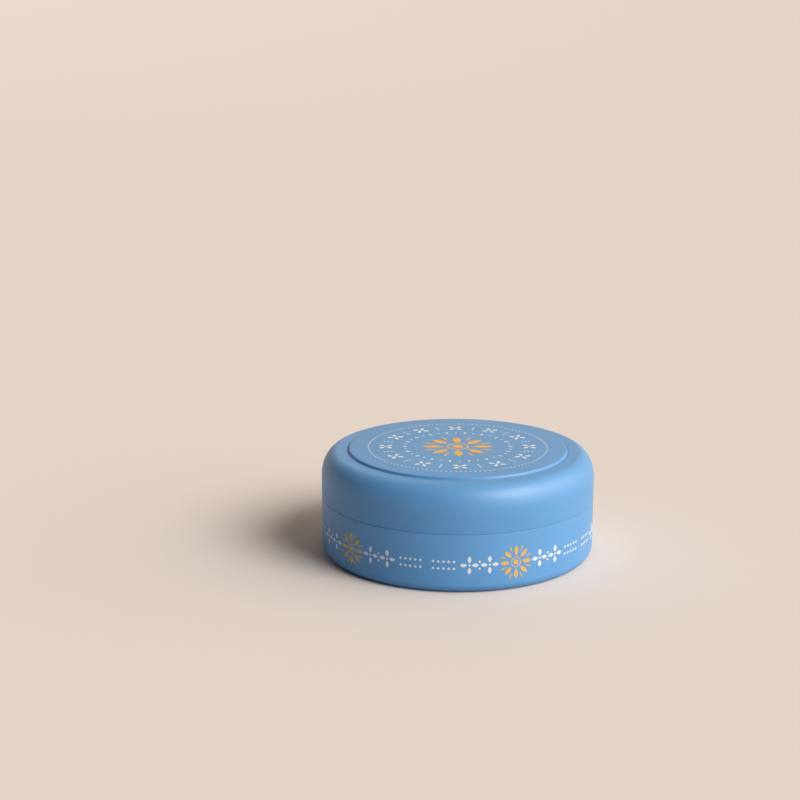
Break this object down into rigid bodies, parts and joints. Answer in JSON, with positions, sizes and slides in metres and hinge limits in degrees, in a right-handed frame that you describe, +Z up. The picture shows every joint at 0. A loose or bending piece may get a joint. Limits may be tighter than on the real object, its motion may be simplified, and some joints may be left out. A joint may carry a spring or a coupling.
{
  "type": "screw-top cosmetic jar",
  "caption": "Low round double-walled screw-top jar of balm, with a flush lid, broad rounded shoulder and raised centre panel.",
  "frame": {"origin": "centre of the foot, on the surface that the jar stands on", "axes": "+Z up along the jar's axis, which is also the axis of the screw thread; +X to the right in the picture's view, +Y away from the camera"},
  "size_m": [0.072, 0.072, 0.0279],
  "materials": {
    "blue_plastic": "fine satin moulded plastic with a soft sheen",
    "white_plastic": "smooth moulded plastic",
    "white_foam": "closed-cell foam with a fine skin",
    "cream_balm": "smooth soft wax with a satin skin",
    "white_ink": "screen-printed white ink of the ornament",
    "golden_ink": "screen-printed golden yellow ink of the ornament"
  },
  "bodies": {
    "jar": {"base_shell": "blue_plastic", "pot": "white_plastic", "balm": "cream_balm"},
    "seal": {"seal_wad": "white_foam"},
    "lid": {"lid_shell": "blue_plastic", "lid_insert": "white_plastic"}
  },
  "joints": [
    {"name": "lid_lift", "type": "slide", "parent": "jar", "child": "seal", "axis": [0, 0, 1], "range_m": [0, 0.018]},
    {"name": "lid_turn", "type": "hinge", "parent": "seal", "child": "lid", "pos_m": [0, 0, 0.0155], "axis": [0, 0, 1], "range_deg": [0, 1080]}
  ],
  "couplings": [
    {"joint": "lid_lift", "follows": "lid_turn", "m_per_rad": 0.00095493}
  ]
}
